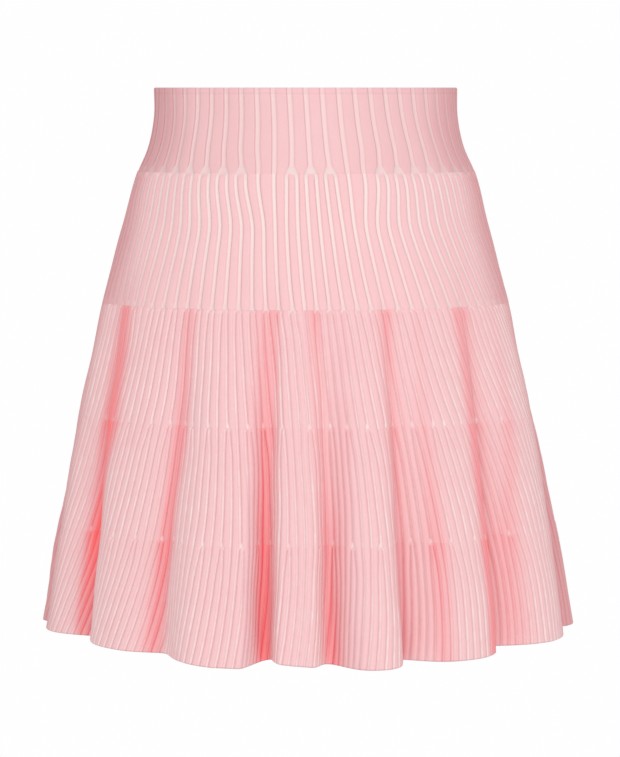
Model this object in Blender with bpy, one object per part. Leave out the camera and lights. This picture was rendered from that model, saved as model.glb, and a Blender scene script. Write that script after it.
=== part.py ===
"""A ribbed knit miniskirt in five bands, hollow and open at the waist and the hem, as it hangs when worn.

Metres, +Z up, the front towards -Y. The origin is the middle of the waist opening, at the top edge.
"""

from collections import namedtuple

import bmesh
import bpy
import numpy as np

SEAM_GAP = 0.0003
WALL = 0.0014
SAMPLES = 1440

# The body of the skirt, a row for each level: half its width, and how far the front and the back stand
# from the middle, without the folds. folds is the share of their full depth that they have there, and lift
# is how much higher the cloth hangs at the sides, where it swings out furthest.
Section = namedtuple("Section", "level half_width front back folds lift")
SECTIONS = (
    Section(0.0000, 0.1160, 0.0870, 0.0870, 0.00, 0.000),
    Section(-0.0240, 0.1165, 0.0880, 0.0890, 0.00, 0.000),
    Section(-0.0475, 0.1225, 0.0925, 0.0945, 0.00, 0.000),
    Section(-0.0645, 0.1305, 0.0970, 0.1000, 0.00, 0.000),
    Section(-0.1060, 0.1415, 0.1060, 0.1110, 0.00, 0.000),
    Section(-0.1660, 0.1580, 0.1160, 0.1230, 0.06, 0.000),
    Section(-0.2100, 0.1675, 0.1215, 0.1295, 0.21, 0.000),
    Section(-0.2535, 0.1770, 0.1270, 0.1350, 0.38, 0.000),
    Section(-0.2975, 0.1852, 0.1318, 0.1397, 0.55, 0.000),
    Section(-0.3410, 0.1930, 0.1360, 0.1440, 0.72, 0.001),
    Section(-0.3845, 0.2000, 0.1395, 0.1480, 0.88, 0.003),
    Section(-0.4267, 0.2040, 0.1420, 0.1510, 1.00, 0.007),
)

# The folds at the hem, in order round the skirt. Angles are degrees from the middle of the front, positive
# towards +X. Each row is a valley, how far it dips under the body, and the lobe after it, how far it stands out.
Fold = namedtuple("Fold", "valley dip lobe stand")
FOLDS = (
    Fold(-98.0, -0.014, -84.0, -0.002),
    Fold(-66.0, -0.032, -50.0, -0.007),
    Fold(-36.5, -0.026, -19.5, 0.016),
    Fold(-9.5, -0.030, -2.0, 0.008),
    Fold(5.5, -0.018, 15.5, 0.018),
    Fold(24.5, -0.026, 37.0, 0.001),
    Fold(51.5, -0.033, 71.0, -0.004),
    Fold(93.0, -0.018, 107.0, 0.018),
    Fold(122.0, -0.024, 135.0, 0.008),
    Fold(147.0, -0.022, 158.0, 0.012),
    Fold(170.0, -0.018, 181.0, 0.014),
    Fold(192.0, -0.027, 205.0, 0.010),
    Fold(218.0, -0.020, 232.0, 0.006),
    Fold(243.0, -0.022, 252.0, 0.014),
)
LOBE_BREADTH = 1.5
VALLEY_ROUND = 1.3
SOFTENED_OVER = (-1.6, -0.8, 0.0, 0.8, 1.6)

# The knitted bands, top to bottom. ribs is the count in each half, rise is how far a rib stands over its groove,
# and flat is the share of a rib that is flat on top.
Band = namedtuple("Band", "name top bottom ribs rise flat colour")
BANDS = (
    Band("waistband", 0.0000, -0.0645, 26, 0.0009, 0.70, (0.90, 0.50, 0.52)),
    Band("yoke", -0.0645, -0.1660, 47, 0.0010, 0.50, (0.92, 0.56, 0.58)),
    Band("first_tier", -0.1660, -0.2535, 82, 0.0011, 0.00, (0.92, 0.48, 0.50)),
    Band("second_tier", -0.2535, -0.3410, 104, 0.0012, 0.00, (0.92, 0.44, 0.46)),
    Band("hem_tier", -0.3410, -0.4267, 126, 0.0013, 0.00, (0.92, 0.42, 0.44)),
)
HALVES = {"front": -90.0, "back": 90.0}


def clear_scene():
    for thing in list(bpy.data.objects):
        bpy.data.objects.remove(thing)


def section_at(level):
    """The row of SECTIONS at a level, worked out between its neighbours."""
    levels = [-row.level for row in SECTIONS]
    columns = zip(*SECTIONS)
    return Section(*(float(np.interp(-level, levels, column)) for column in columns))


def lobe_shape(share):
    """Rises from a valley, at share 0, to the crest of a broad lobe, at share 1."""
    return np.sin(np.pi / 2 * (1 - (1 - share**VALLEY_ROUND) ** LOBE_BREADTH))


def sharp_stand(angles):
    """How far the wall at the hem stands out from the body at each angle: round lobes between narrow valleys."""
    valleys = [row.valley for row in FOLDS]
    stand = np.zeros_like(angles)
    turned = (angles - valleys[0]) % 360 + valleys[0]
    for row, after in zip(FOLDS, FOLDS[1:] + FOLDS[:1]):
        end = after.valley + (360 if after is FOLDS[0] else 0)
        rising = (turned >= row.valley) & (turned < row.lobe)
        falling = (turned >= row.lobe) & (turned < end)
        up = ((turned - row.valley) / (row.lobe - row.valley))[rising]
        down = ((end - turned) / (end - row.lobe))[falling]
        stand[rising] = row.dip + (row.stand - row.dip) * lobe_shape(up)
        stand[falling] = after.dip + (row.stand - after.dip) * lobe_shape(down)
    return stand


def fold_stand(angles):
    """The same, with the bottom of each valley rounded as thick cloth bends."""
    return sum(sharp_stand(angles + turn) for turn in SOFTENED_OVER) / len(SOFTENED_OVER)


def body_line(level, angles):
    """Points of the folded wall at a level, as x and y."""
    section = section_at(level)
    turn = np.radians(angles)
    depth = np.where(np.cos(turn) > 0, section.front, section.back)
    x = section.half_width * np.sin(turn)
    y = -depth * np.cos(turn)
    out_x = np.sin(turn) / section.half_width
    out_y = -np.cos(turn) / depth
    stand = section.folds * fold_stand(angles) / np.hypot(out_x, out_y)
    return np.stack([x + out_x * stand, y + out_y * stand], axis=1)


def half_line(level, start):
    """One half's points from seam to seam, their outward directions and heights, and the share of the cloth
    up to each."""
    angles = np.linspace(start, start + 180, SAMPLES + 1)
    step = angles[1] - angles[0]
    points = body_line(level, angles)
    along = body_line(level, angles + step) - body_line(level, angles - step)
    along /= np.linalg.norm(along, axis=1)[:, None]
    outward = np.stack([along[:, 1], -along[:, 0]], axis=1)
    lengths = np.linalg.norm(np.diff(points, axis=0), axis=1)
    share = np.concatenate([[0], np.cumsum(lengths)])
    heights = level + section_at(level).lift * np.sin(np.radians(angles)) ** 4
    return points, outward, heights, share / share[-1]


def ring(level, start, shares, raised):
    """Points on a ring at given shares of the cloth, each moved out by its own amount."""
    points, outward, heights, share = half_line(level, start)
    found = [np.interp(shares, share, column) for column in (*points.T, *outward.T, heights)]
    x, y, out_x, out_y, z = found
    y = y + (SEAM_GAP / 2 if start > 0 else -SEAM_GAP / 2)
    return np.stack([x + out_x * raised, y + out_y * raised, z], axis=1)


def rib_corners(band):
    """Where a rib's corners lie across it, as shares of its width, and how far each is raised."""
    if band.flat:
        edge = (1 - band.flat) / 2
        return (0, edge, 1 - edge), (0, band.rise, band.rise)
    return (0, 0.5), (0, band.rise)


def band_levels(band):
    """The band's own edges, half a seam gap in where another band follows, and the sections between them."""
    top = band.top if band is BANDS[0] else band.top - SEAM_GAP / 2
    bottom = band.bottom if band is BANDS[-1] else band.bottom + SEAM_GAP / 2
    inside = [row.level for row in SECTIONS if band.bottom < row.level < band.top]
    return [top, *inside, bottom]


def band_mesh(name, band, start):
    """A closed wall: ribs raised on the outer face over a plain inner face, with rims and seam ends."""
    across, raised = rib_corners(band)
    corners = len(across)
    count = band.ribs * corners
    shares = np.array([(rib + a) / band.ribs for rib in range(band.ribs) for a in across] + [1.0])
    outer_raise = np.array(list(raised) * band.ribs + [0.0])
    inner_shares = np.linspace(0, 1, band.ribs + 1)
    levels = band_levels(band)

    shape = bmesh.new()
    outer = []
    inner = []
    for level in levels:
        outer.append([shape.verts.new(p) for p in ring(level, start, shares, outer_raise)])
        inner.append([shape.verts.new(p) for p in ring(level, start, inner_shares, -WALL)])
    for k in range(len(levels) - 1):
        for j in range(count):
            shape.faces.new((outer[k][j], outer[k + 1][j], outer[k + 1][j + 1], outer[k][j + 1]))
        for j in range(band.ribs):
            shape.faces.new((inner[k][j + 1], inner[k + 1][j + 1], inner[k + 1][j], inner[k][j]))
        for j, rib in ((0, 0), (count, band.ribs)):
            shape.faces.new((outer[k][j], outer[k + 1][j], inner[k + 1][rib], inner[k][rib]))
    for k in (0, -1):
        for rib in range(band.ribs):
            edge = outer[k][rib * corners : (rib + 1) * corners + 1]
            shape.faces.new((*edge, inner[k][rib + 1], inner[k][rib]))
    bmesh.ops.recalc_face_normals(shape, faces=shape.faces)
    mesh = bpy.data.meshes.new(name)
    shape.to_mesh(mesh)
    shape.free()
    return mesh


def knit(name, colour):
    material = bpy.data.materials.new(name)
    material.use_nodes = True
    shader = material.node_tree.nodes["Principled BSDF"]
    shader.inputs["Base Color"].default_value = (*colour, 1.0)
    shader.inputs["Roughness"].default_value = 0.85
    shader.inputs["Metallic"].default_value = 0.0
    material.diffuse_color = (*colour, 1.0)
    return material


def make_band(band, parts):
    """The front and the back of one band."""
    for half, start in HALVES.items():
        name = f"{band.name}_{half}"
        thing = bpy.data.objects.new(name, band_mesh(name, band, start))
        thing.data.materials.append(knit(f"{name}_knit", band.colour))
        parts.objects.link(thing)


def main():
    clear_scene()
    parts = bpy.data.collections.new("miniskirt")
    bpy.context.scene.collection.children.link(parts)
    for band in BANDS:
        make_band(band, parts)


main()
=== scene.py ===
"""The looks of a ribbed knit miniskirt in five bands, worn, hollow, with folds that deepen to the hem."""

import math
from collections import namedtuple

import bpy
import numpy as np
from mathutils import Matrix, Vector


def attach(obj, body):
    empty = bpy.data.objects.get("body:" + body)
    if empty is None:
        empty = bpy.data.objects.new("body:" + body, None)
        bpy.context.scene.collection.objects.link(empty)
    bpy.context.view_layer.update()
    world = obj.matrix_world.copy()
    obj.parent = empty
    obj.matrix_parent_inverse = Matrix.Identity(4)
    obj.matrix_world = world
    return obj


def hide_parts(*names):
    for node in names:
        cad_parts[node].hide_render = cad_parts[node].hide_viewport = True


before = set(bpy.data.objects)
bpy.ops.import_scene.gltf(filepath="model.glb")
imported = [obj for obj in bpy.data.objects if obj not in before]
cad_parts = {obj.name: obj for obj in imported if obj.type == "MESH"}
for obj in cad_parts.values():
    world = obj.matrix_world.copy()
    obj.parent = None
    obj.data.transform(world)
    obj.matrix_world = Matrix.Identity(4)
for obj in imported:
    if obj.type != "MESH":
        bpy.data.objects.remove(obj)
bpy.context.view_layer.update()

# ---------------------------------------------------------------- the body of the skirt

# A row for each level: half the width, how far the front and the back stand from the middle, the share of
# the folds' full depth, and how much higher the cloth hangs at the sides.
Section = namedtuple("Section", "level half_width front back folds lift")
SECTIONS = (
    Section(0.0000, 0.1160, 0.0870, 0.0870, 0.00, 0.000),
    Section(-0.0240, 0.1165, 0.0880, 0.0890, 0.00, 0.000),
    Section(-0.0475, 0.1215, 0.0925, 0.0945, 0.00, 0.000),
    Section(-0.0645, 0.1293, 0.0970, 0.1000, 0.00, 0.000),
    Section(-0.1060, 0.1402, 0.1060, 0.1110, 0.00, 0.000),
    Section(-0.1660, 0.1568, 0.1160, 0.1230, 0.06, 0.000),
    Section(-0.2100, 0.1665, 0.1215, 0.1295, 0.21, 0.000),
    Section(-0.2535, 0.1762, 0.1270, 0.1350, 0.38, 0.000),
    Section(-0.2975, 0.1843, 0.1318, 0.1397, 0.55, 0.000),
    Section(-0.3410, 0.1915, 0.1360, 0.1440, 0.72, 0.001),
    Section(-0.3845, 0.1986, 0.1395, 0.1480, 0.88, 0.003),
    Section(-0.4267, 0.2040, 0.1420, 0.1510, 1.00, 0.007),
)
WALL = 0.0014
# Places worked out round each level.
SAMPLES = 2880

# The folds at the hem: a valley, how far it dips under the body, half the width of its floor in degrees,
# how crisp its left and its right side are, and the lobe after it, how far it stands out. Angles are degrees
# from the middle of the front, positive towards +X.
Fold = namedtuple("Fold", "valley dip floor left right lobe stand")
FOLDS = (
    Fold(-98.0, -0.014, 0.0, 0.0, 0.0, -84.0, -0.002),
    Fold(-64.4, -0.030, 0.6, 0.0, 0.3, -49.0, -0.007),
    Fold(-34.6, -0.018, 0.6, 0.0, 0.0, -19.5, 0.016),
    Fold(-9.2, -0.019, 1.3, 1.0, 0.9, -2.0, 0.009),
    Fold(5.3, -0.016, 0.9, 0.9, 0.1, 15.0, 0.018),
    Fold(22.8, -0.025, 0.5, 0.5, 0.0, 37.0, 0.001),
    Fold(50.3, -0.033, 0.5, 0.6, 0.0, 71.0, 0.001),
    Fold(93.0, -0.018, 0.3, 0.3, 0.0, 107.0, 0.015),
    Fold(122.0, -0.024, 0.6, 0.0, 0.5, 135.0, 0.008),
    Fold(147.0, -0.022, 0.4, 0.4, 0.0, 158.0, 0.012),
    Fold(170.0, -0.018, 0.8, 0.5, 0.1, 181.0, 0.014),
    Fold(192.0, -0.027, 1.0, 0.6, 0.5, 205.0, 0.010),
    Fold(218.0, -0.020, 0.4, 0.0, 0.4, 232.0, 0.006),
    Fold(243.0, -0.022, 0.4, 0.3, 0.0, 252.0, 0.014),
)
# How broad the lobes and how round the valleys are, the degrees over which a crisp side rises, and the
# turns over which the whole line is averaged, as thick cloth bends.
LOBE_BREADTH = 1.5
VALLEY_ROUND = 1.3
CRISP_OVER = 2.4
SOFTENED_OVER = (-0.8, -0.4, 0.0, 0.4, 0.8)

# How far the free hem falls below its level, in metres, at angles round the skirt. The fall grows from
# FALL_FROM down to the hem.
Fall = namedtuple("Fall", "angle depth")
FALLS = (
    Fall(-180.0, 0.0020),
    Fall(-110.0, 0.0020),
    Fall(-85.0, 0.0014),
    Fall(-60.0, 0.0004),
    Fall(-31.0, 0.0010),
    Fall(-26.0, 0.0015),
    Fall(-19.0, 0.0036),
    Fall(-11.0, 0.0038),
    Fall(-7.0, 0.0006),
    Fall(-2.0, 0.0024),
    Fall(3.0, 0.0040),
    Fall(7.0, 0.0050),
    Fall(14.0, 0.0046),
    Fall(22.0, 0.0042),
    Fall(30.0, 0.0044),
    Fall(45.0, 0.0042),
    Fall(52.0, 0.0030),
    Fall(64.0, 0.0028),
    Fall(74.0, 0.0042),
    Fall(100.0, 0.0046),
    Fall(130.0, 0.0020),
    Fall(180.0, 0.0020),
)
FALL_FROM = -0.3600

# Painted shade in each fold: a coral colour standing for the shadow and the light bounced between the pink
# walls of the valley, where the grooves also close over the white ground. The columns: the angles of its
# deepest colour under each of the three tier lines and at the hem, how far it reaches to the left and to the
# right, and how strong it is at those four levels.
Shade = namedtuple("Shade", "angles left right strengths")
SHADES = (
    Shade((-62.0, -61.6, -67.2, -69.4), 2.8, 8.0, (0.36, 0.72, 0.76, 0.40)),
    Shade((-65.5, -66.0, -70.0, -72.0), 3.2, 3.2, (0.14, 0.34, 0.12, 0.00)),
    Shade((-33.2, -32.4, -34.4, -37.0), 4.2, 3.6, (0.22, 0.34, 0.46, 0.34)),
    Shade((-13.0, -13.0, -13.0, -13.0), 3.0, 3.0, (0.14, 0.12, 0.00, 0.00)),
    Shade((-8.4, -8.3, -9.0, -9.0), 3.0, 2.6, (0.22, 0.17, 0.06, 0.00)),
    Shade((-11.0, -10.4, -9.9, -9.5), 2.1, 3.4, (0.04, 0.16, 0.48, 0.68)),
    Shade((2.2, 3.3, 5.0, 6.1), 3.2, 3.0, (0.24, 0.18, 0.26, 0.42)),
    Shade((9.6, 9.8, 8.6, 9.5), 2.8, 2.6, (0.08, 0.12, 0.16, 0.04)),
    Shade((22.4, 21.9, 22.2, 22.8), 4.2, 3.4, (0.25, 0.25, 0.27, 0.27)),
    Shade((32.0, 30.2, 31.2, 31.3), 3.0, 4.0, (0.10, 0.16, 0.28, 0.24)),
    Shade((47.0, 46.6, 46.8, 47.0), 4.0, 8.0, (0.28, 0.38, 0.52, 0.56)),
    Shade((64.0, 62.0, 58.0, 58.0), 4.0, 5.0, (0.08, 0.19, 0.20, 0.16)),
    Shade((96.0, 97.0, 98.0, 98.0), 7.0, 6.0, (0.10, 0.14, 0.16, 0.15)),
    Shade((122.0, 122.0, 122.0, 122.0), 7.0, 5.0, (0.22, 0.28, 0.36, 0.40)),
    Shade((147.0, 147.0, 147.0, 147.0), 5.0, 6.0, (0.20, 0.26, 0.32, 0.34)),
    Shade((170.0, 170.0, 170.0, 170.0), 4.0, 4.0, (0.20, 0.26, 0.34, 0.38)),
    Shade((192.0, 192.0, 192.0, 192.0), 4.0, 4.0, (0.24, 0.28, 0.40, 0.48)),
    Shade((218.0, 218.0, 218.0, 218.0), 5.0, 5.0, (0.20, 0.24, 0.30, 0.34)),
    Shade((243.0, 243.0, 243.0, 243.0), 5.0, 6.0, (0.22, 0.28, 0.36, 0.36)),
    Shade((262.0, 262.0, 262.0, 262.0), 7.0, 5.0, (0.18, 0.24, 0.28, 0.28)),
)
SHADE_LEVELS = (-0.1660, -0.2535, -0.3410, -0.4267)
# How fast a shade thins out sideways: at its reach to exp(-SHADE_THINS).
SHADE_THINS = 1.6
# The yoke has this share of the first tier's painted shade just above the line, and none above
# YOKE_SHADE_FROM.
YOKE_SHADE = 0.3
YOKE_SHADE_FROM = -0.1250
# Under the line at its top the ribs of each tier stand closer, and the painted shade is stronger by this
# share, less and less down to a few times this distance.
CLOSE_SHADE = 0.22
CLOSE_OVER = 0.020

# How far the ribs lean as they hang, in degrees from an even spread round the skirt: at each level, at the
# left of the front, in its middle, at its right and in the middle of the back. Seen from outside, a positive
# lean takes a rib to the left on its way down.
Lean = namedtuple("Lean", "level left middle right back")
LEANS = (
    Lean(0.0000, -1, -4, -7, -2),
    Lean(-0.0645, 0, -3, -9, -2),
    Lean(-0.1660, 5, -6, -20, -3),
    Lean(-0.2535, 11, -6, -22, -2),
    Lean(-0.3410, 12, -1, -14, -1),
    Lean(-0.4267, 19, 9, 0, 4),
)
# Where those four are, in rounds from the middle of the front, and the middle of the back once more.
LEAN_PLACES = (-0.50, -0.17, 0.0, 0.17, 0.50)
# The drift is followed down the skirt in steps of this height, for this many places in one round.
DRIFT_STEP = 0.002
DRIFT_PLACES = 721

# Small unevenness of the hanging cloth, in metres, as a sum of waves. Each has its share, its turn in
# radians for each metre across, deep and high, and its start.
RIPPLE = 0.0004
Wave = namedtuple("Wave", "share across deep high start")
WAVES = (
    Wave(1.0, 61, 0, 37, 1.3),
    Wave(1.0, -83, 71, -29, 4.1),
    Wave(0.6, 0, 117, 97, 0.4),
)

# ---------------------------------------------------------------- the knitted bands

# ribs is the count all round. Lengths are metres: rise is how far a rib stands over its groove, crown how
# much rounder its top is, groove half the groove's width, bank half the width of its sloping side. steps
# are the shares of the way to the top of the rib where it has more corners.
Band = namedtuple("Band", "name top bottom ribs rise crown groove bank steps slot")
BANDS = (
    Band("waistband", 0.0, -0.0645, 52, 0.00085, 0.00020, 0.00185, 0.00060, (0.35, 0.7), "waistband_knit"),
    Band("yoke", -0.0645, -0.1660, 94, 0.00115, 0.00035, 0.00145, 0.00045, (0.35, 0.7), "yoke_knit"),
    Band("first_tier", -0.1660, -0.2535, 164, 0.00080, 0.00060, 0.00050, 0.00040, (0.5,), "tier_knit"),
    Band("second_tier", -0.2535, -0.3410, 208, 0.00080, 0.00060, 0.00045, 0.00038, (0.5,), "tier_knit"),
    Band("hem_tier", -0.3410, -0.4267, 252, 0.00080, 0.00060, 0.00045, 0.00038, (0.5,), "tier_knit"),
)

# Where a band gives way to the next: spread is how far each of the two grooves that come from one groove
# lies from it, foot half the width of the white point over the split and peak its height, arch how fast the
# top of the new rib rounds off, relax how far down the ribs take to space themselves, and held the grooves
# of the waistband that don't split, numbered from the middle of the back.
Line = namedtuple("Line", "spread foot peak arch relax held")
LINES = (
    Line(0.0038, 0.0045, 0.0058, 0.0042, 0.045, (2, 3, 13, 23, 24, 28, 29, 39, 49, 50)),
    Line(0.0022, 0.0020, 0.0048, 0.0028, 0.026, ()),
    Line(0.0016, 0.0013, 0.0042, 0.0024, 0.024, ()),
    Line(0.0015, 0.0012, 0.0040, 0.0024, 0.024, ()),
)
# How far the grooves give way to those below, as a share, and how far above the line they begin to.
LINE_PULL = 0.35
ABOVE_RELAX = 0.022
# The white point's sides are hollow by this power, and below the line its mark fades over this many arches.
POINT_HOLLOW = 0.75
MARK_FADE = 1.5
# What crowding leaves of a rib: half its flat top, and the share of its width that a bank may take.
LEAST_TOP = 0.00012
MOST_BANK = 0.8

# The free edges are rounded over EDGE_ROUND. The waist edge is turned over as far down as EDGE_TURN, and
# at the top its grooves are filled by this share of the rib.
EDGE_ROUND = 0.0011
EDGE_TURN = 0.0044
EDGE_FILL = 0.6
# The inside has a low ridge behind each groove.
INNER_RIDGE = 0.0003

# How far down from a band's edge its rows of points lie, and how far apart they are between.
ROWS_AT_EDGE = (0.0, 0.0004, 0.0009, 0.0015, 0.0022, 0.0030, 0.0040, 0.0054, 0.0072, 0.0096, 0.0128, 0.0168)
ROW_HEIGHT = 0.0055

# How quickly the bank of each groove that takes the painted shadow changes over, at the middles and at the
# sides.
SIDE_CHANGE = 4
# What the finishes read of a length is in millimetres.
MILLIMETRES = 1000


def on_curve(level, column):
    """A column of SECTIONS at a level, on a smooth curve through its rows."""
    levels = np.array([-row.level for row in SECTIONS])
    values = np.array([getattr(row, column) for row in SECTIONS])
    slopes = np.gradient(values, levels)
    at = float(np.clip(-level, levels[0], levels[-1]))
    k = min(int(np.searchsorted(levels, at, side="right")) - 1, len(levels) - 2)
    span = levels[k + 1] - levels[k]
    t = (at - levels[k]) / span
    return (
        values[k] * (1 + 2 * t) * (1 - t) ** 2
        + slopes[k] * span * t * (1 - t) ** 2
        + values[k + 1] * t * t * (3 - 2 * t)
        - slopes[k + 1] * span * t * t * (1 - t)
    )


def section_at(level):
    return Section(level, *(on_curve(level, column) for column in Section._fields[1:]))


def smooth(share):
    """From 0 to 1 with a soft start and end."""
    share = np.clip(share, 0, 1)
    return share * share * (3 - 2 * share)


def lobe_shape(share):
    """Rises from a valley, at share 0, to the crest of a broad lobe, at share 1."""
    return np.sin(np.pi / 2 * (1 - (1 - share**VALLEY_ROUND) ** LOBE_BREADTH))


def fold_side(off, reach, floor, crisp):
    """The rise from a valley to the crest that lies reach degrees off, at places off degrees away."""
    rounded = lobe_shape(np.clip((off - floor) / (reach - floor), 0, 1))
    return rounded + crisp * (smooth((off - floor) / CRISP_OVER) - rounded)


def sharp_stand(angles):
    """How far the wall at the hem stands out from the body at each angle."""
    first = FOLDS[0].valley
    stand = np.zeros_like(angles)
    turned = (angles - first) % 360 + first
    for row, after in zip(FOLDS, FOLDS[1:] + FOLDS[:1]):
        end = after.valley + (360 if after is FOLDS[0] else 0)
        rising = (turned >= row.valley) & (turned < row.lobe)
        falling = (turned >= row.lobe) & (turned < end)
        up = fold_side(turned[rising] - row.valley, row.lobe - row.valley, row.floor, row.right)
        down = fold_side(end - turned[falling], end - row.lobe, after.floor, after.left)
        stand[rising] = row.dip + (row.stand - row.dip) * up
        stand[falling] = after.dip + (row.stand - after.dip) * down
    return stand


def fold_stand(angles):
    """The same, softened as thick cloth bends."""
    return sum(sharp_stand(angles + turn) for turn in SOFTENED_OVER) / len(SOFTENED_OVER)


ANGLES = np.linspace(-180, 180, SAMPLES + 1)
ANGLE_STEP = ANGLES[1] - ANGLES[0]
STANDS = {shift: fold_stand(ANGLES + shift * ANGLE_STEP) for shift in (-1, 0, 1)}


def ring_points(section, shift):
    """The folded wall at a section, as x and y, for the angles or for those one step to a side."""
    turn = np.radians(ANGLES + shift * ANGLE_STEP)
    depth = np.where(np.cos(turn) > 0, section.front, section.back)
    out_x = np.sin(turn) / section.half_width
    out_y = -np.cos(turn) / depth
    stand = section.folds * STANDS[shift] / np.hypot(out_x, out_y)
    x = section.half_width * np.sin(turn) + out_x * stand
    y = -depth * np.cos(turn) + out_y * stand
    return np.stack([x, y], axis=1)


def shade_at(level):
    """The strength of the painted coral shade in the folds at each angle, from 0 to 1."""
    levels = [-v for v in SHADE_LEVELS]
    plain = np.ones_like(ANGLES)
    for row in SHADES:
        middle = np.interp(-level, levels, row.angles)
        strength = np.interp(-level, levels, row.strengths)
        off = (ANGLES - middle + 180) % 360 - 180
        reach = np.where(off < 0, row.left, row.right)
        plain *= 1 - strength * np.exp(-((off / reach) ** 2) * SHADE_THINS)
    if level > SHADE_LEVELS[0]:
        near_line = smooth((YOKE_SHADE_FROM - level) / (YOKE_SHADE_FROM - SHADE_LEVELS[0]))
        return (1 - plain) * (YOKE_SHADE * near_line)
    return 1 - plain


def fall_at(level):
    """How far the cloth at each angle hangs under its level."""
    depths = np.interp(ANGLES, [row.angle for row in FALLS], [row.depth for row in FALLS])
    return depths * smooth((FALL_FROM - level) / (FALL_FROM - BANDS[-1].bottom))


def ring_at(level):
    """The wall at a level. around is the share of the round from the middle of the front."""
    section = section_at(level)
    points = ring_points(section, 0)
    along = ring_points(section, 1) - ring_points(section, -1)
    along /= np.linalg.norm(along, axis=1)[:, None]
    lengths = np.linalg.norm(np.diff(points, axis=0), axis=1)
    reached = np.concatenate([[0], np.cumsum(lengths)])
    return {
        "around": (reached - reached[SAMPLES // 2]) / reached[-1],
        "length": reached[-1],
        "x": points[:, 0],
        "y": points[:, 1],
        "z": level + section.lift * np.sin(np.radians(ANGLES)) ** 4 - fall_at(level),
        "out_x": along[:, 1],
        "out_y": -along[:, 0],
        "shade": shade_at(level),
    }


def look_up(ring, around, *names):
    """Columns of a ring at places round it."""
    first = ring["around"][0]
    turned = (around - first) % 1 + first
    return [np.interp(turned, ring["around"], ring[name]) for name in names]


# ---------------------------------------------------------------- the drift of the ribs


GRID = np.linspace(-0.5, 0.5, DRIFT_PLACES)


def lean_rates(row):
    """The drift of the ribs at a row's level, at each place of GRID, in rounds for each metre of height."""
    leans = np.radians([row.back, row.left, row.middle, row.right, row.back])
    reached = np.interp(GRID, LEAN_PLACES, range(len(leans)))
    before = np.minimum(reached.astype(int), len(leans) - 2)
    lean = leans[before] + (leans[before + 1] - leans[before]) * smooth(reached - before)
    return np.tan(lean) / ring_at(row.level)["length"]


RATES = np.array([lean_rates(row) for row in LEANS])


def drift_speed(level, around):
    """How fast the ribs at places round the skirt drift, in rounds for each metre of height."""
    reached = np.interp(-level, [-row.level for row in LEANS], range(len(LEANS)))
    above = min(int(reached), len(LEANS) - 2)
    rates = RATES[above] + (RATES[above + 1] - RATES[above]) * (reached - above)
    return np.interp((around + 0.5) % 1 - 0.5, GRID, rates)


def carried(around, start, end):
    """Where places round the skirt at one level have drifted to at another."""
    count = max(1, round(abs(end - start) / DRIFT_STEP))
    step = (end - start) / count
    for k in range(count):
        half_way = around + drift_speed(start + k * step, around) * step / 2
        around = around + drift_speed(start + (k + 0.5) * step, half_way) * step
    return around


def wound(at, grid, values):
    """values at places on a grid of one round, which goes on past its ends a round further."""
    rounds = np.floor(at - grid[0])
    return np.interp(at - rounds, grid, values) + rounds


class Plan:
    """Where the ribs of a band run: home is each groove's place at the band's top if nothing crowded it."""

    def __init__(self, band, home):
        self.band = band
        self.home = home
        self.at_top = home
        self.new_ribs = []
        self.splits = ()
        self.lined_up = home
        self.height = band.top - band.bottom
        self.to_bottom = carried(GRID, band.top, band.bottom)

    def bottom(self):
        """Where the grooves arrive at the band's bottom."""
        return wound(self.home, GRID, self.to_bottom)

    def bend_bottom(self, places):
        """Bends the last stretch of the grooves so that they arrive at other places."""
        self.lined_up = wound(places, self.to_bottom, GRID)


def choose_splits(arrived, count, held):
    """The grooves that split so that the ribs below come out even."""
    if held:
        return tuple(g for g in range(len(arrived)) if g not in held)
    splits = []
    made = 0
    middles = (arrived + np.append(arrived[1:], arrived[0] + 1)) / 2
    for groove, middle in enumerate(middles):
        wanted = round(count * (middle - arrived[0]) + 0.5)
        spare = len(arrived) - groove - 1
        extra = wanted - made >= 2 or made + 1 + 2 * spare < count
        if extra and made + 2 + spare <= count:
            splits.append(groove)
            made += 1
        made += 1
    return tuple(splits)


def plan_below(above, line, band):
    """The plan of the band under a line, whose ribs come from those above it."""
    arrived = above.bottom()
    above.splits = choose_splits(arrived, band.ribs, line.held)
    if len(arrived) + len(above.splits) != band.ribs:
        raise ValueError(f"{band.name}: {len(arrived)} grooves and {len(above.splits)} splits")
    counts = np.array([2 if groove in above.splits else 1 for groove in range(len(arrived))])
    firsts = np.concatenate([[0], np.cumsum(counts)[:-1]])
    centres = (firsts + (counts - 1) / 2) / band.ribs
    centres += np.mean(arrived - centres)
    met = arrived + LINE_PULL * (centres - arrived)
    above.bend_bottom(met)

    home_start = centres[0] - (counts[0] - 1) / 2 / band.ribs
    plan = Plan(band, np.arange(band.ribs) / band.ribs + home_start)
    spread = line.spread / ring_at(band.top)["length"]
    at_top = []
    for place, count in zip(met, counts):
        if count == 2:
            plan.new_ribs.append(len(at_top))
            at_top += [place - spread, place + spread]
        else:
            at_top.append(place)
    plan.at_top = np.array(at_top)
    return plan


def plan_bands():
    """The plans of all bands, from the waist down."""
    waistband = BANDS[0]
    plans = [Plan(waistband, np.arange(waistband.ribs) / waistband.ribs - 0.5)]
    for line, band in zip(LINES, BANDS[1:]):
        plans.append(plan_below(plans[-1], line, band))
    return plans


def rows_of(band):
    """How far down the band each row of points lies: close where ribs part, wide between."""
    height = band.top - band.bottom
    last = ROWS_AT_EDGE[-1]
    count = round((height - 2 * last) / ROW_HEIGHT)
    middle = np.linspace(last, height - last, count + 1)[1:-1]
    return np.array([*ROWS_AT_EDGE, *middle, *(height - down for down in reversed(ROWS_AT_EDGE))])


# The corners of a row of ribs: where they lie round the skirt, how high they stand, how far they are from
# the middle of the nearest groove and half its width, how far they face right, and how white the ground is.
Corners = namedtuple("Corners", "around up near groove facing mark")


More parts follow.
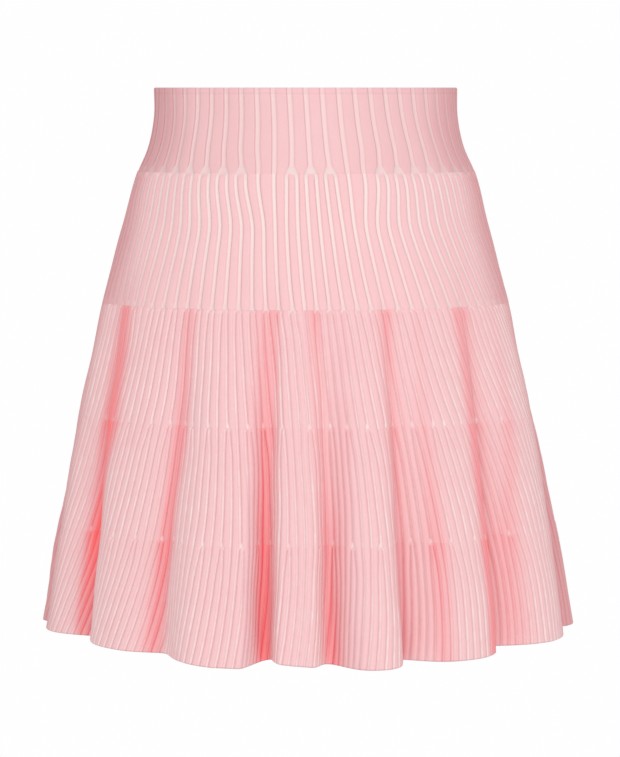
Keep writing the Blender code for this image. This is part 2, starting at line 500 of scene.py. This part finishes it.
class Row:
    """The ribs of a band at one level: where their grooves lie, and how wide and high they are there."""

    def __init__(self, number, plan, down, drifted):
        self.band = plan.band
        self.down = down
        self.ring = ring_at(self.band.top - down)
        self.place = plan.home.copy()
        self.left = np.full(self.band.ribs, self.band.groove)
        self.right = self.left.copy()
        self.full = np.ones(self.band.ribs)
        self.mark = np.zeros(self.band.ribs)
        if number > 0:
            self.grow_ribs(plan, LINES[number - 1])
        if number < len(LINES):
            self.part_grooves(plan, LINES[number])
        self.grooves = wound(self.place, GRID, drifted)
        self.widths = np.diff(np.append(self.grooves, self.grooves[0] + 1)) * self.ring["length"]
        self.left = np.minimum(self.left, self.widths / 2 - LEAST_TOP)
        self.right = np.minimum(self.right, self.widths / 2 - LEAST_TOP)

    def grow_ribs(self, plan, line):
        """Under a line the new ribs round off and the ribs space themselves."""
        self.place += (plan.at_top - plan.home) * (1 - smooth(self.down / line.relax))
        grown = min(self.down / line.arch, 1.0)
        opened = math.sqrt(1 - (1 - grown) ** 2)
        new = np.array(plan.new_ribs)
        self.left[new] = line.spread - (line.spread - self.band.groove) * opened
        self.right[new] = self.left[new]
        self.full[new] = smooth(grown)
        self.mark[new] = 1 - smooth(self.down / line.arch / MARK_FADE)
        self.mark[(new + 1) % self.band.ribs] = self.mark[new]

    def part_grooves(self, plan, line):
        """Over a line the grooves that split widen to a white point, and all bend to those below."""
        up = plan.height - self.down
        self.place += (plan.lined_up - plan.home) * (1 - smooth(up / ABOVE_RELAX))
        peak = max(0.0, 1 - up / line.peak) ** POINT_HOLLOW
        splits = np.array(plan.splits)
        self.left[splits] = self.band.groove + (line.foot - self.band.groove) * peak
        self.right[splits - 1] = self.left[splits]
        self.mark[splits] = np.maximum(self.mark[splits], min(1.0, 2 * peak))

    def side(self, groove):
        """The corners from the middle of a groove to the top of the rib beside it: how far off they lie and
        how high they stand."""
        band = self.band
        half = self.widths / 2
        inner = half - groove
        bank = np.minimum(band.bank, np.minimum(groove, inner) * MOST_BANK)
        wide_groove = len(band.steps) > 1
        places = [0 * half]
        if wide_groove:
            places.append(groove - bank)
        places += [groove, groove + bank]
        places += [groove + bank + (inner - bank) * step for step in band.steps]
        floor = 0.0
        if band is BANDS[0]:
            floor = EDGE_FILL * band.rise * (1 - float(smooth(self.down / EDGE_TURN)))
        heights = []
        for place in places:
            rise = np.clip((place - groove + bank) / (2 * bank), 0, 1)
            round_top = np.clip(1 - ((half - place) / inner) ** 2, 0, 1) * (place > groove)
            height = band.rise * rise + band.crown * round_top
            heights.append(np.maximum(height, floor) * self.full)
        return places, heights

    def corners(self):
        """The corners of all ribs, from the groove at the left of each rib to the one at its right."""
        half = self.widths / 2
        top = (self.band.rise + self.band.crown) * self.full
        left_places, left_heights = self.side(self.left)
        right_places, right_heights = self.side(self.right)
        right_places = right_places[:0:-1]
        right_heights = right_heights[:0:-1]
        on_left = len(left_places) + 1
        on_right = len(right_places)
        at = [*left_places, half, *(2 * half - place for place in right_places)]
        columns = Corners(
            around=[self.grooves + place / self.ring["length"] for place in at],
            up=[*left_heights, top, *right_heights],
            near=[*left_places, half, *right_places],
            groove=[self.left] * on_left + [self.right] * on_right,
            facing=[-np.sin(2 * math.pi * place / self.widths) for place in at],
            mark=[self.mark] * on_left + [np.roll(self.mark, -1)] * on_right,
        )
        return Corners(*(np.stack(column, axis=1).ravel() for column in columns))


def shadow_side(around):
    """Which bank of each groove takes the painted shadow, with the white line on the other: 1 where the
    front runs right from its middle, -1 left, and the same for the back as seen from behind."""
    return np.tanh(SIDE_CHANGE * np.sin(4 * math.pi * around))


def place_on(ring, around, raised):
    """Points round a ring, each moved out by its own amount and by the ripple of the cloth."""
    x, y, z, out_x, out_y = look_up(ring, around, "x", "y", "z", "out_x", "out_y")
    ripple = sum(
        wave.share * np.sin(wave.across * x + wave.deep * y + wave.high * z + wave.start) for wave in WAVES
    )
    out = raised + RIPPLE * ripple
    return np.stack([x + out_x * out, y + out_y * out, z], axis=1)


def edge_share(band, down):
    """1 but near a free edge, where the cloth turns over."""
    share = 1.0
    if band is BANDS[0]:
        share = min(share, down / EDGE_ROUND)
    if band is BANDS[-1]:
        share = min(share, (band.top - band.bottom - down) / EDGE_ROUND)
    share = min(max(share, 0.0), 1.0)
    return math.sqrt(1 - (1 - share) ** 2)


def facts_at(number, row, corners):
    """What the finish reads at a row's corners: lengths in millimetres, the rest as shares."""
    level = row.band.top - row.down
    count = len(corners.around)
    shade, x = look_up(row.ring, corners.around, "shade", "x")
    close = CLOSE_SHADE * math.exp(-row.down / CLOSE_OVER) if number > 1 else 0.0
    return {
        "near": corners.near * MILLIMETRES,
        "groove": corners.groove * MILLIMETRES,
        # The painted shadow in each groove changes side across the front and across the back.
        "facing": corners.facing * (shadow_side(corners.around) if number > 0 else 1.0),
        "mark": corners.mark,
        "down": np.full(count, row.down * MILLIMETRES),
        "hem": np.full(count, (level - BANDS[-1].bottom) * MILLIMETRES),
        "shade": shade * (1 + close),
        "flank": np.abs(x) / section_at(level).half_width,
    }


def knit_band(number, plan):
    """A band as a closed shell, with what its finish reads stored at its points."""
    band = plan.band
    middle = (band.rise + band.crown - WALL) / 2
    lining = np.tile([-WALL - INNER_RIDGE, -WALL], band.ribs)
    outer, inner, facts = [], [], []
    drifted = GRID
    before = 0.0
    for down in rows_of(band):
        drifted = carried(drifted, band.top - before, band.top - down)
        before = down
        row = Row(number, plan, down, drifted)
        corners = row.corners()
        turn = edge_share(band, down)
        outer.append(place_on(row.ring, corners.around, middle + (corners.up - middle) * turn))
        tops = row.grooves + row.widths / 2 / row.ring["length"]
        behind = np.stack([row.grooves, tops], axis=1).ravel()
        inner.append(place_on(row.ring, behind, middle + (lining - middle) * turn))
        facts.append(facts_at(number, row, corners))
    return closed_shell(f"{band.name}_knit", outer, inner, facts)


def ring_faces(first, rows, count):
    """Faces between rings of points, each ring right after the one above it, facing out."""
    row, place = np.meshgrid(np.arange(rows - 1), np.arange(count), indexing="ij")
    here = (first + row * count + place).ravel()
    beside = (first + row * count + (place + 1) % count).ravel()
    return np.stack([here, here + count, beside + count, beside], axis=1)


def closed_shell(name, outer, inner, facts):
    """Joins rings of outer and inner points, with rims at both edges. A rib has two inner points."""
    rows, wide, narrow = len(outer), len(outer[0]), len(inner[0])
    ribs = narrow // 2
    corners = wide // ribs
    first = rows * wide
    faces = ring_faces(0, rows, wide).tolist()
    faces += ring_faces(first, rows, narrow)[:, ::-1].tolist()
    for row, turned in ((0, False), (rows - 1, True)):
        for rib in range(ribs):
            edge = [row * wide + (rib * corners + c) % wide for c in range(corners + 1)]
            back = [first + row * narrow + (2 * rib + c) % narrow for c in (2, 1, 0)]
            faces.append((edge + back)[::-1] if turned else edge + back)
    mesh = bpy.data.meshes.new(name)
    points = np.concatenate([*outer, *inner])
    mesh.from_pydata(points.tolist(), [], faces)
    mesh.shade_smooth()
    sharpen_rims(mesh, rows, wide, narrow)

    rib_starts = np.arange(ribs) * corners
    hidden = np.stack([rib_starts, rib_starts + corners // 2], axis=1).ravel()
    columns = {"inside": np.concatenate([np.zeros(first), np.ones(rows * narrow)])}
    for fact in facts[0]:
        shown = [row[fact] for row in facts]
        columns[fact] = np.concatenate(shown + [values[hidden] for values in shown])
    for fact, values in columns.items():
        stored = mesh.attributes.new(fact, "FLOAT", "POINT")
        stored.data.foreach_set("value", values.astype(np.float32))
    piece = bpy.data.objects.new(name, mesh)
    bpy.context.scene.collection.objects.link(piece)
    return piece


def sharpen_rims(mesh, rows, wide, narrow):
    """Keeps the shading crisp where the walls meet the rims at the top and the bottom."""
    first = rows * wide
    border = np.zeros(len(mesh.vertices), bool)
    for row in (0, rows - 1):
        border[row * wide : (row + 1) * wide] = True
        border[first + row * narrow : first + (row + 1) * narrow] = True
    ends = np.empty(len(mesh.edges) * 2, np.int32)
    mesh.edges.foreach_get("vertices", ends)
    sharp = border[ends].reshape(-1, 2).all(axis=1)
    mesh.attributes.new("sharp_edge", "BOOLEAN", "EDGE").data.foreach_set("value", sharp)


# ---------------------------------------------------------------- making a finish


class Value:
    """A number that varies over the cloth."""

    def __init__(self, finish, socket):
        self.finish = finish
        self.socket = socket

    def __add__(self, other):
        return self.finish.math("ADD", self, other)

    def __sub__(self, other):
        return self.finish.math("SUBTRACT", self, other)

    def __rsub__(self, other):
        return self.finish.math("SUBTRACT", other, self)

    def __mul__(self, other):
        return self.finish.math("MULTIPLY", self, other)

    def __truediv__(self, other):
        return self.finish.math("DIVIDE", self, other)

    __radd__ = __add__
    __rmul__ = __mul__

    def wave(self):
        """The sine of 2 pi times the value."""
        return self.finish.math("SINE", self * (2 * math.pi), 0.0)

    def fraction(self):
        return self.finish.math("FRACT", self, 0.0)

    def larger(self, other):
        return self.finish.math("MAXIMUM", self, other)

    def size(self):
        return self.finish.math("ABSOLUTE", self, 0.0)

    def step(self, low, high, start=0.0, end=1.0):
        """start under low, end over high, smooth between."""
        sockets = {"Value": self, "From Min": low, "From Max": high, "To Min": start, "To Max": end}
        made = self.finish.node("MapRange", {"interpolation_type": "SMOOTHSTEP"}, sockets)
        return Value(self.finish, made.outputs["Result"])

    def fade(self, low, high):
        """1 under low, 0 over high, smooth between."""
        return self.step(low, high, 1.0, 0.0)

    def line(self, middle, core, edge):
        """1 as far as core from a middle, 0 past edge, smooth between."""
        return (self - middle).size().fade(core, edge)


class Nodes:
    """A tree of shader nodes in the making."""

    def __init__(self, tree):
        self.tree = tree

    def node(self, kind, settings, sockets):
        """Adds a node: its settings first, then its sockets, each a plain value or a link."""
        made = self.tree.nodes.new(f"ShaderNode{kind}")
        for name, value in settings.items():
            setattr(made, name, value)
        for name, value in sockets.items():
            self.join(value, made.inputs[name])
        return made

    def join(self, value, socket):
        if isinstance(value, Value):
            value = value.socket
        if isinstance(value, bpy.types.NodeSocket):
            self.tree.links.new(value, socket)
        else:
            socket.default_value = value


class Finish(Nodes):
    """A material in the making."""

    def __init__(self, name):
        self.material = bpy.data.materials.new(name)
        self.material.use_nodes = True
        super().__init__(self.material.node_tree)
        self.shader = self.tree.nodes["Principled BSDF"]

    def give(self, name, value):
        """Sets or links a socket of the material's shader."""
        self.join(value, self.shader.inputs[name])

    def math(self, operation, first, second):
        made = self.node("Math", {"operation": operation}, {0: first, 1: second})
        return Value(self, made.outputs[0])

    def fact(self, name):
        """A number stored at the cloth's points."""
        made = self.node("Attribute", {"attribute_name": name}, {})
        return Value(self, made.outputs["Fac"])

    def noise(self, scale):
        place = self.node("TexCoord", {}, {}).outputs["Object"]
        made = self.node("TexNoise", {}, {"Vector": place, "Scale": scale, "Detail": 2.0})
        return Value(self, made.outputs["Fac"])

    def blend(self, first, second, share):
        """From the first colour to the second."""
        made = self.node("Mix", {"data_type": "RGBA"}, {0: share, 6: first, 7: second})
        return made.outputs[2]

    def tint(self, colour, tone, share):
        """The colour taken towards its product with a tone."""
        settings = {"data_type": "RGBA", "blend_type": "MULTIPLY"}
        made = self.node("Mix", settings, {0: share, 6: colour, 7: tone})
        return made.outputs[2]

    def bump(self, height, distance):
        sockets = {"Height": height, "Distance": distance, "Strength": 1.0}
        self.give("Normal", self.node("Bump", {}, sockets).outputs["Normal"])


# ---------------------------------------------------------------- the knit

ROSE = (0.945, 0.60, 0.615, 1.0)
WAIST_ROSE = (0.915, 0.585, 0.60, 1.0)
SALMON = (0.94, 0.41, 0.43, 1.0)
CORAL = (0.97, 0.20, 0.205, 1.0)
MILK = (0.955, 0.80, 0.775, 1.0)
CREAM = (0.885, 0.715, 0.70, 1.0)
INSIDE_ROSE = (0.90, 0.66, 0.66, 1.0)
# Tones that a colour is multiplied by for painted shadow and shade: in the grooves, in the grooves deep in
# the folds, and towards the sides.
SHADOW_TONE = (0.80, 0.72, 0.74, 1.0)
FOLD_SHADOW_TONE = (0.95, 0.50, 0.53, 1.0)
SIDE_SHADE_TONE = (0.88, 0.74, 0.75, 1.0)
# Painted light: a glow given off deep in the folds, standing for light that comes through the thin knit.
PAINTED_GLOW = (1.0, 0.16, 0.16, 1.0)
NO_GLOW = (0.0, 0.0, 0.0, 1.0)
PAINTED_GLOW_STRENGTH = 0.10
FUZZ = (1.0, 0.85, 0.85, 1.0)

# A finish for each kind of knit: milk is how much of the milk-white ground shows in its grooves, and fade
# how much less of it further down. Fine knit shows the ground as a line on one side of each groove, away
# from its painted shadow, and turned knit has a turned edge at its top. The last field is the share of the
# way to the sides from where painted shade darkens the colour.
Knit = namedtuple("Knit", "colour milk fade fine turned flank_from")
KNITS = {
    "waistband_knit": Knit(WAIST_ROSE, 0.50, 0.0, False, True, 0.68),
    "yoke_knit": Knit(ROSE, 0.95, 0.30, False, False, 0.86),
    "tier_knit": Knit(ROSE, 1.0, 0.0, True, False, 0.95),
}

# Millimetres: how far from the middle of a fine groove its white line and the painted shadow past it lie,
# and the width and the height of a knit stitch.
WHITE_LINE = 0.75
OUTER_SHADOW = 1.75
STITCH_WIDE = 1.15
STITCH_HIGH = 0.85
STITCH_RELIEF = 0.00010
# The sizes of the unevenness of the knit, as noise scales: in the white, along the ribs, in the yarn and in
# its fibres.
PATCHES = 110.0
DRIFTING = 45.0
YARN = 900.0
FIBRES = 2600.0


def knit_finish(name, knit):
    """Coloured ribs over a milk-white ground, painted coral shade and a painted glow in the folds, painted
    shadows in the grooves and at the edges, with rows of knit stitches.
    """
    finish = Finish(name)
    facts = ("near", "groove", "down", "shade", "mark", "facing", "inside", "flank")
    near, groove, down, shade, mark, facing, inside, flank = (finish.fact(fact) for fact in facts)
    past = near - groove
    # 1 on the bank of each groove that takes the painted shadow, 0 on the bank that shows the white line.
    in_shadow = facing.step(-0.2, 0.4)
    mottle = finish.noise(YARN).step(0.35, 0.75)

    # The ground that shows in the grooves and at the white points, and the painted shadow in each groove.
    point = past.fade(-0.3, 0.2) * mark
    if knit.fine:
        patch = finish.noise(PATCHES).step(0.35, 0.65)
        ground = near.line(WHITE_LINE, 0.20, 0.75) * (1 - in_shadow) * down.step(0.0, 70.0, 0.55, 1.0)
        ground = ground * (0.55 + patch * 0.45)
        point = point * (0.40 + patch * 0.60)
        groove_shadow = near.fade(0.20, 1.25) * (0.28 + in_shadow * 0.72) * 0.68
        groove_shadow = groove_shadow.larger(near.line(OUTER_SHADOW, 0.10, 0.60) * (1 - in_shadow) * 0.25)
    else:
        ground = past.fade(-0.45, 0.30)
        depth = 0.25 + in_shadow * 0.60 + flank.step(0.30, 0.90) * 0.35
        groove_shadow = past.line(0.1, 0.0, 0.75) * depth
    ground = ground * down.step(20.0, 100.0, knit.milk, knit.milk - knit.fade)
    if knit.turned:
        ground = ground * down.step(2.0, 5.5, 0.55, 1.0)
    ground = ground * shade.step(0.12, 0.50, 1.0, 0.15)
    ground = ground.larger(point * 0.85)
    groove_shadow = groove_shadow * (1 - mark * 0.7) * shade.step(0.10, 0.50, 1.0, 1.9)

    # The colour of the ribs and of the ground, both taken to the painted coral shade in the folds.
    rose = finish.blend(knit.colour, SALMON, mottle * 0.10 + finish.noise(DRIFTING).step(0.3, 0.7) * 0.07)
    rose = finish.blend(rose, SALMON, shade.step(0.0, 0.45))
    rose = finish.blend(rose, CORAL, shade.step(0.28, 1.05))
    milk = MILK if knit.fine else finish.blend(MILK, CREAM, mark)
    milk = finish.blend(milk, SALMON, shade.step(0.0, 0.5) * (0.8 - mark * 0.5))
    colour = finish.blend(rose, milk, ground)

    # Painted shadows in the grooves, painted shade towards the sides, painted shadows along the turned edge
    # and along the hem, the inside, and a painted glow deep in the folds.
    colour = finish.tint(colour, finish.blend(SHADOW_TONE, FOLD_SHADOW_TONE, shade.step(0.05, 0.40)), groove_shadow)
    colour = finish.tint(colour, SIDE_SHADE_TONE, flank.step(knit.flank_from, 1.0))
    if knit.turned:
        colour = finish.tint(colour, SHADOW_TONE, down.line(EDGE_TURN * MILLIMETRES, 0.1, 0.9) * 0.25)
        colour = finish.tint(colour, SIDE_SHADE_TONE, flank.step(0.1, 0.5) * 0.17)
    if knit.fine:
        colour = finish.tint(colour, SHADOW_TONE, finish.fact("hem").fade(0.4, 1.5) * 0.7)
    finish.give("Base Color", finish.blend(colour, INSIDE_ROSE, inside))
    finish.give("Emission Color", finish.blend(NO_GLOW, PAINTED_GLOW, shade.step(0.25, 0.85)))
    finish.give("Emission Strength", PAINTED_GLOW_STRENGTH)

    finish.bump(stitch_height(finish, near, down), STITCH_RELIEF)
    finish.give("Roughness", 0.86 + mottle * 0.08)
    finish.give("Specular IOR Level", 0.2)
    finish.give("Sheen Weight", 0.08)
    finish.give("Sheen Roughness", 0.5)
    finish.give("Sheen Tint", FUZZ)
    return finish.material


def stitch_height(finish, near, down):
    """The relief of the stitches: slanted legs side by side in rows, with the fibres on them."""
    leg = (near / STITCH_WIDE).fraction() - 0.5
    row = (down / STITCH_HIGH + leg.size()).wave() * 0.5 + 0.5
    between = leg.size().step(0.30, 0.5)
    return row * 0.6 - between * 0.5 + finish.noise(FIBRES) * 0.5


# ---------------------------------------------------------------- camera, light and floor

CAMERA_AWAY = 2.84
FRAME_TALL = 0.5885
AIM = Vector((0.0035, 0.0, -0.2262))
SENSOR = 36.0

Light = namedtuple("Light", "name place size power")
LIGHTS = (
    Light("key_light", (-0.5, -3.0, 0.9), 1.3, 20.0),
    Light("fill_light", (1.1, -2.8, 0.4), 1.5, 15.0),
    Light("back_light", (0.3, 3.0, 0.9), 1.5, 22.0),
)
LIT_POINT = (0.0, 0.0, -0.22)
WHITE = (1.0, 1.0, 1.0, 1.0)
# The strength of the surround where it lights the skirt, and where it is seen.
SURROUND_LIGHT = 0.70
SURROUND_SEEN = 0.993

FLOOR_LEVEL = -0.90
FLOOR_SIZE = 2.4
FLOOR_PALE = (0.86, 0.86, 0.86, 1.0)
FLOOR_PALER = (0.89, 0.89, 0.89, 1.0)
FLOOR_CLOUDS = 3.0


def aim(thing, target):
    thing.rotation_euler = (Vector(target) - thing.location).to_track_quat("-Z", "Y").to_euler()


def make_camera():
    data = bpy.data.cameras.new("photo_camera")
    camera = bpy.data.objects.new("photo_camera", data)
    camera.location = (AIM.x, -CAMERA_AWAY, 0.0)
    aim(camera, AIM)
    data.sensor_width = SENSOR
    data.lens = SENSOR * CAMERA_AWAY / FRAME_TALL
    data.clip_start = 0.1
    data.clip_end = 50.0
    bpy.context.scene.collection.objects.link(camera)
    bpy.context.scene.camera = camera


def make_light(row):
    data = bpy.data.lights.new(row.name, "AREA")
    data.shape = "SQUARE"
    data.size = row.size
    data.energy = row.power
    light = bpy.data.objects.new(row.name, data)
    light.location = row.place
    aim(light, LIT_POINT)
    bpy.context.scene.collection.objects.link(light)


def make_surround():
    """A white surround that lights softly and looks white."""
    world = bpy.data.worlds.new("studio")
    world.use_nodes = True
    nodes = Nodes(world.node_tree)
    lighting = nodes.tree.nodes["Background"]
    nodes.join(WHITE, lighting.inputs["Color"])
    nodes.join(SURROUND_LIGHT, lighting.inputs["Strength"])
    seen = nodes.node("Background", {}, {"Color": WHITE, "Strength": SURROUND_SEEN})
    path = nodes.node("LightPath", {}, {})
    shaders = {0: path.outputs["Is Camera Ray"], 1: lighting.outputs[0], 2: seen.outputs[0]}
    mix = nodes.node("MixShader", {}, shaders)
    nodes.join(mix.outputs[0], nodes.tree.nodes["World Output"].inputs["Surface"])
    bpy.context.scene.world = world


def make_floor():
    bpy.ops.mesh.primitive_plane_add(size=FLOOR_SIZE, location=(0.0, 0.0, FLOOR_LEVEL))
    floor = bpy.context.object
    floor.name = "studio_floor"
    finish = Finish("studio_floor_paint")
    finish.give("Base Color", finish.blend(FLOOR_PALE, FLOOR_PALER, finish.noise(FLOOR_CLOUDS)))
    finish.give("Roughness", 0.7)
    floor.data.materials.append(finish.material)


def make_studio():
    """A white surround with three broad lights and a pale floor."""
    make_surround()
    for row in LIGHTS:
        make_light(row)
    make_floor()
    bpy.context.scene.view_settings.view_transform = "Standard"
    bpy.context.scene.view_settings.look = "None"


# ---------------------------------------------------------------- the skirt


def make_skirt():
    finishes = {name: knit_finish(name, knit) for name, knit in KNITS.items()}
    for number, plan in enumerate(plan_bands()):
        band = plan.band
        piece = knit_band(number, plan)
        piece.data.materials.append(finishes[band.slot])
        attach(piece, "root")
        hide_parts(f"{band.name}_front", f"{band.name}_back")
        top = ring_at(band.top)["length"]
        bottom = ring_at(band.bottom)["length"]
        held = "stretched" if number == 0 else "hung"
        (top + bottom) / 2 * plan.height


make_camera()
make_studio()
make_skirt()
